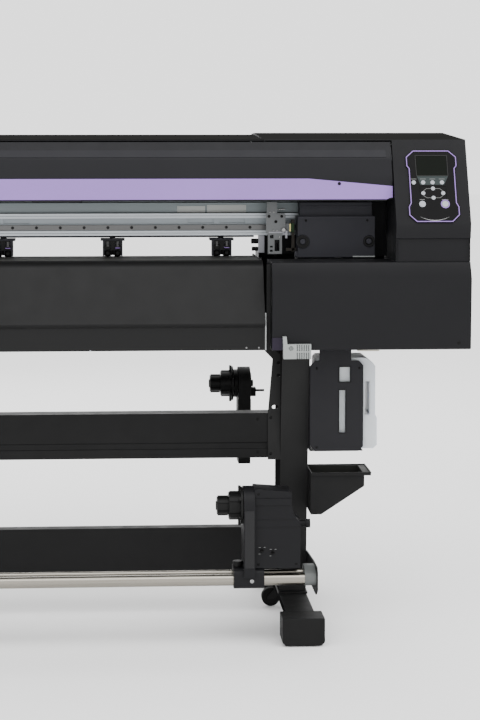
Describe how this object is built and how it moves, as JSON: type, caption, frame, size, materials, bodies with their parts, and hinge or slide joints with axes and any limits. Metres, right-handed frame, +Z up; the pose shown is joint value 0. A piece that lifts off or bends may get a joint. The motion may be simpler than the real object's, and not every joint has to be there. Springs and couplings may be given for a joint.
{
  "type": "print and cut plotter",
  "caption": "Wide-format roll-fed print-and-cut plotter on a wheeled stand, with rear roll holders, front take-up, lifting cover and waste tank.",
  "frame": {"origin": "on the floor under the middle of the machine's box", "axes": "+X to the right seen from the front (operator) side, +Y to the rear where the supply roll hangs, +Z up"},
  "size_m": [2.255, 0.7, 1.392],
  "materials": {
    "frame_black": "fine-textured powder coat",
    "cover_black": "satin charcoal cover",
    "apron_black": "smooth satin coat",
    "platen_metal": "dull anodised",
    "beam_aluminium": "brushed extrusion",
    "rail_steel": "ground steel",
    "belt_rubber": "matte rubber",
    "inner_plastic": "moulded plastic",
    "duct_grey": "light grey moulding",
    "foot_plastic": "moulded plastic",
    "tube_steel": "bright drawn stainless",
    "panel_black": "satin panel film",
    "plate_steel": "zinc-plated plate",
    "tank_plastic": "translucent blow-moulded polyethylene",
    "hub_plastic": "glass-filled moulding",
    "key_white": "silicone key tops",
    "wheel_rubber": "caster tread"
  },
  "bodies": {
    "machine": {"chassis": "frame_black", "platen": "platen_metal", "apron": "apron_black", "rear_media_guide": "apron_black", "lower_cover_right": "cover_black", "lower_cover_left": "cover_black", "upper_cover_right": "cover_black", "upper_cover_left": "cover_black", "top_cover": "cover_black", "y_beam": "beam_aluminium", "linear_rail": "rail_steel", "belt_drive": "belt_rubber", "capping_station": "inner_plastic", "wiring_duct": "duct_grey", "ink_rack": "inner_plastic", "power_inlet": "inner_plastic", "stand_beams": "frame_black", "stand_leg_right": "frame_black", "stand_leg_left": "frame_black", "levelling_feet": "foot_plastic", "roll_rail": "frame_black", "takeup_rails": "tube_steel", "tube_brackets": "frame_black", "waste_tank_bracket": "frame_black", "drip_tray": "foot_plastic", "operation_panel": "panel_black"},
    "front_cover": {"front_cover": "cover_black"},
    "print_carriage": {"print_carriage": "inner_plastic"},
    "cutter_carriage": {"cutter_carriage": "plate_steel"},
    "cutter_holder": {"cutter_holder": "inner_plastic"},
    "pinch_arms": {"pinch_arms": "inner_plastic"},
    "pinch_rollers": {"pinch_rollers": "belt_rubber"},
    "clamp_lever": {"clamp_lever": "inner_plastic"},
    "grit_roller": {"grit_roller": "rail_steel"},
    "waste_ink_tank": {"waste_ink_tank": "tank_plastic"},
    "roll_holder_right": {"roll_holder_right": "frame_black"},
    "roll_holder_left": {"roll_holder_left": "frame_black"},
    "roll_hub_right": {"roll_hub_right": "hub_plastic"},
    "roll_hub_left": {"roll_hub_left": "hub_plastic"},
    "takeup_unit": {"takeup_unit": "frame_black"},
    "takeup_hub": {"takeup_hub": "hub_plastic"},
    "takeup_idler": {"takeup_idler": "frame_black"},
    "takeup_idler_hub": {"takeup_idler_hub": "hub_plastic"},
    "takeup_switch_a": {"takeup_switch_a": "rail_steel"},
    "takeup_switch_b": {"takeup_switch_b": "rail_steel"},
    "function_key_1": {"function_key_1": "key_white"},
    "function_key_2": {"function_key_2": "key_white"},
    "function_key_3": {"function_key_3": "key_white"},
    "function_key_4": {"function_key_4": "key_white"},
    "arrow_pad": {"arrow_pad": "key_white"},
    "enter_key": {"enter_key": "key_white"},
    "end_key": {"end_key": "key_white"},
    "caster_fork_front_right": {"caster_fork_front_right": "foot_plastic"},
    "caster_wheel_front_right": {"caster_wheel_front_right": "wheel_rubber"},
    "caster_fork_front_left": {"caster_fork_front_left": "foot_plastic"},
    "caster_wheel_front_left": {"caster_wheel_front_left": "wheel_rubber"},
    "caster_fork_rear_right": {"caster_fork_rear_right": "foot_plastic"},
    "caster_wheel_rear_right": {"caster_wheel_rear_right": "wheel_rubber"},
    "caster_fork_rear_left": {"caster_fork_rear_left": "foot_plastic"},
    "caster_wheel_rear_left": {"caster_wheel_rear_left": "wheel_rubber"}
  },
  "joints": [
    {"name": "front_cover_hinge", "type": "hinge", "parent": "machine", "child": "front_cover", "pos_m": [0, -0.196, 1.362], "axis": [-1, 0, 0], "range_deg": [0, 70]},
    {"name": "cutter_slide", "type": "slide", "parent": "machine", "child": "cutter_carriage", "axis": [1, 0, 0], "range_m": [-1.15, 0]},
    {"name": "carriage_slide", "type": "slide", "parent": "machine", "child": "print_carriage", "axis": [1, 0, 0], "range_m": [-1.15, 0]},
    {"name": "cutter_lift", "type": "slide", "parent": "cutter_carriage", "child": "cutter_holder", "axis": [0, 0, -1], "range_m": [0, 0.004], "stiffness_N_per_m": 400},
    {"name": "clamp_lever_pivot", "type": "hinge", "parent": "machine", "child": "clamp_lever", "pos_m": [0.61, 0.275, 1.18], "axis": [1, 0, 0], "range_deg": [0, 50]},
    {"name": "pinch_lift", "type": "hinge", "parent": "machine", "child": "pinch_arms", "pos_m": [0, -0.008, 1.098], "axis": [-1, 0, 0], "range_deg": [0, 5]},
    {"name": "grit_roller_spin", "type": "hinge", "parent": "machine", "child": "grit_roller", "pos_m": [0, -0.04, 1.0334], "axis": [1, 0, 0], "continuous": true},
    {"name": "pinch_roller_spin", "type": "hinge", "parent": "pinch_arms", "child": "pinch_rollers", "pos_m": [0, -0.04, 1.0489], "axis": [1, 0, 0], "continuous": true},
    {"name": "waste_tank_pull", "type": "slide", "parent": "machine", "child": "waste_ink_tank", "axis": [1, 0, 0], "range_m": [0, 0.2]},
    {"name": "roll_holder_right_slide", "type": "slide", "parent": "machine", "child": "roll_holder_right", "axis": [1, 0, 0], "range_m": [-0.35, 0]},
    {"name": "roll_holder_left_slide", "type": "slide", "parent": "machine", "child": "roll_holder_left", "axis": [1, 0, 0], "range_m": [0, 0.35]},
    {"name": "roll_hub_right_spin", "type": "hinge", "parent": "roll_holder_right", "child": "roll_hub_right", "pos_m": [0.445, 0.25, 0.639], "axis": [1, 0, 0], "continuous": true},
    {"name": "roll_hub_left_spin", "type": "hinge", "parent": "roll_holder_left", "child": "roll_hub_left", "pos_m": [-0.445, 0.25, 0.639], "axis": [1, 0, 0], "continuous": true},
    {"name": "takeup_unit_slide", "type": "slide", "parent": "machine", "child": "takeup_unit", "axis": [1, 0, 0], "range_m": [-0.3, 0]},
    {"name": "takeup_idler_slide", "type": "slide", "parent": "machine", "child": "takeup_idler", "axis": [1, 0, 0], "range_m": [0, 0.3]},
    {"name": "takeup_hub_spin", "type": "hinge", "parent": "takeup_unit", "child": "takeup_hub", "pos_m": [0.433, -0.285, 0.378], "axis": [1, 0, 0], "continuous": true},
    {"name": "takeup_idler_hub_spin", "type": "hinge", "parent": "takeup_idler", "child": "takeup_idler_hub", "pos_m": [-0.433, -0.285, 0.378], "axis": [1, 0, 0], "continuous": true},
    {"name": "takeup_switch_a_tilt", "type": "hinge", "parent": "takeup_unit", "child": "takeup_switch_a", "pos_m": [0.5537, -0.3255, 0.2597], "axis": [1, 0, 0], "range_deg": [-12, 12]},
    {"name": "takeup_switch_b_tilt", "type": "hinge", "parent": "takeup_unit", "child": "takeup_switch_b", "pos_m": [0.5836, -0.3255, 0.2542], "axis": [1, 0, 0], "range_deg": [-12, 12]},
    {"name": "caster_swivel_front_right", "type": "hinge", "parent": "machine", "child": "caster_fork_front_right", "pos_m": [0.6635, -0.19, 0.06], "axis": [0, 0, 1], "continuous": true},
    {"name": "caster_spin_front_right", "type": "hinge", "parent": "caster_fork_front_right", "child": "caster_wheel_front_right", "pos_m": [0.6635, -0.16, 0.029], "axis": [1, 0, 0], "continuous": true},
    {"name": "caster_swivel_front_left", "type": "hinge", "parent": "machine", "child": "caster_fork_front_left", "pos_m": [-0.6635, -0.19, 0.06], "axis": [0, 0, 1], "continuous": true},
    {"name": "caster_spin_front_left", "type": "hinge", "parent": "caster_fork_front_left", "child": "caster_wheel_front_left", "pos_m": [-0.6635, -0.16, 0.029], "axis": [1, 0, 0], "continuous": true},
    {"name": "caster_swivel_rear_right", "type": "hinge", "parent": "machine", "child": "caster_fork_rear_right", "pos_m": [0.645, 0.094, 0.06], "axis": [0, 0, 1], "continuous": true},
    {"name": "caster_spin_rear_right", "type": "hinge", "parent": "caster_fork_rear_right", "child": "caster_wheel_rear_right", "pos_m": [0.615, 0.094, 0.029], "axis": [0, 1, 0], "continuous": true},
    {"name": "caster_swivel_rear_left", "type": "hinge", "parent": "machine", "child": "caster_fork_rear_left", "pos_m": [-0.645, 0.094, 0.06], "axis": [0, 0, 1], "continuous": true},
    {"name": "caster_spin_rear_left", "type": "hinge", "parent": "caster_fork_rear_left", "child": "caster_wheel_rear_left", "pos_m": [-0.615, 0.094, 0.029], "axis": [0, 1, 0], "continuous": true},
    {"name": "function_key_1_press", "type": "slide", "parent": "machine", "child": "function_key_1", "axis": [0, 0.9217, -0.3879], "range_m": [0, 0.0008], "stiffness_N_per_m": 600},
    {"name": "function_key_2_press", "type": "slide", "parent": "machine", "child": "function_key_2", "axis": [0, 0.9217, -0.3879], "range_m": [0, 0.0008], "stiffness_N_per_m": 600},
    {"name": "function_key_3_press", "type": "slide", "parent": "machine", "child": "function_key_3", "axis": [0, 0.9217, -0.3879], "range_m": [0, 0.0008], "stiffness_N_per_m": 600},
    {"name": "function_key_4_press", "type": "slide", "parent": "machine", "child": "function_key_4", "axis": [0, 0.9217, -0.3879], "range_m": [0, 0.0008], "stiffness_N_per_m": 600},
    {"name": "arrow_pad_press", "type": "slide", "parent": "machine", "child": "arrow_pad", "axis": [0, 0.9217, -0.3879], "range_m": [0, 0.0008], "stiffness_N_per_m": 600},
    {"name": "enter_key_press", "type": "slide", "parent": "machine", "child": "enter_key", "axis": [0, 0.9217, -0.3879], "range_m": [0, 0.0008], "stiffness_N_per_m": 600},
    {"name": "end_key_press", "type": "slide", "parent": "machine", "child": "end_key", "axis": [0, 0.9217, -0.3879], "range_m": [0, 0.0008], "stiffness_N_per_m": 600}
  ],
  "couplings": [
    {"joint": "carriage_slide", "follows": "cutter_slide", "ratio": 1},
    {"joint": "pinch_lift", "follows": "clamp_lever_pivot", "ratio": 0.1},
    {"joint": "pinch_roller_spin", "follows": "grit_roller_spin", "ratio": -2}
  ]
}
